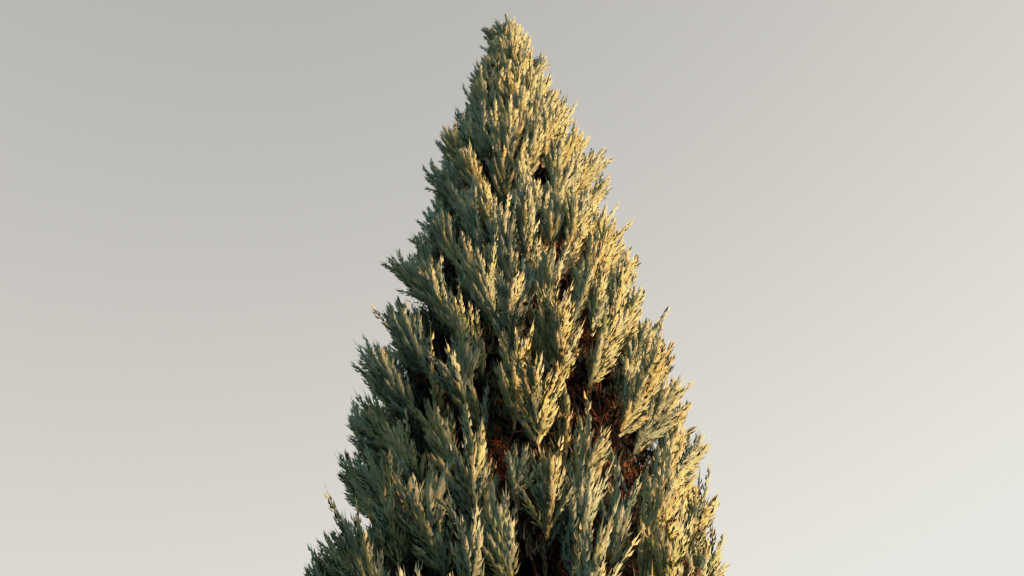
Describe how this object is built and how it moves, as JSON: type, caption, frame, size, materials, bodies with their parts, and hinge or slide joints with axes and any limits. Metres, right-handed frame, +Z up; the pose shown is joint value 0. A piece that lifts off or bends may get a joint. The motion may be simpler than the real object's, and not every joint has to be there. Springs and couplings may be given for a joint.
{
  "type": "cypress tree",
  "caption": "Tall narrow cypress with a tapering trunk, short steep boughs and upright, overlapping plumes of grey-green foliage.",
  "frame": {"origin": "centre of the flat cut under the trunk, at ground level", "axes": "+Z up along the trunk; -Y is the side the tree is seen from; +X is that viewer's right, and the tip leans slightly towards -X"},
  "size_m": [1.1892, 1.2064, 6],
  "materials": {
    "bark": "rough, fibrous, in long vertical strips",
    "foliage": "matt, slightly waxy scale leaves, grey-green with straw-coloured tips"
  },
  "bodies": {
    "root": {"bough_1_1": "bark", "bough_1_2": "bark", "bough_1_3": "bark", "bough_1_4": "bark", "bough_1_5": "bark", "bough_2_1": "bark", "bough_2_2": "bark", "bough_2_3": "bark", "bough_2_4": "bark", "bough_2_5": "bark", "bough_3_1": "bark", "bough_3_2": "bark", "bough_3_3": "bark", "bough_3_4": "bark", "bough_3_5": "bark", "bough_4_1": "bark", "bough_4_2": "bark", "bough_4_3": "bark", "bough_4_4": "bark", "bough_4_5": "bark", "foliage_1_1": "foliage", "foliage_1_2": "foliage", "foliage_1_3": "foliage", "foliage_1_4": "foliage", "foliage_1_5": "foliage", "foliage_2_1": "foliage", "foliage_2_2": "foliage", "foliage_2_3": "foliage", "foliage_2_4": "foliage", "foliage_2_5": "foliage", "foliage_3_1": "foliage", "foliage_3_2": "foliage", "foliage_3_3": "foliage", "foliage_3_4": "foliage", "foliage_3_5": "foliage", "foliage_4_1": "foliage", "foliage_4_2": "foliage", "foliage_4_3": "foliage", "foliage_4_4": "foliage", "foliage_4_5": "foliage", "foliage_5_1": "foliage", "foliage_5_2": "foliage", "foliage_5_3": "foliage", "foliage_5_4": "foliage", "foliage_6_1": "foliage", "foliage_6_2": "foliage", "foliage_6_3": "foliage", "foliage_6_4": "foliage", "foliage_7_1": "foliage", "foliage_7_2": "foliage", "foliage_7_3": "foliage", "foliage_7_4": "foliage", "foliage_8_1": "foliage", "foliage_8_2": "foliage", "foliage_8_3": "foliage", "foliage_9_1": "foliage", "foliage_9_2": "foliage", "foliage_9_3": "foliage", "foliage_top": "foliage", "trunk": "bark"}
  },
  "joints": []
}
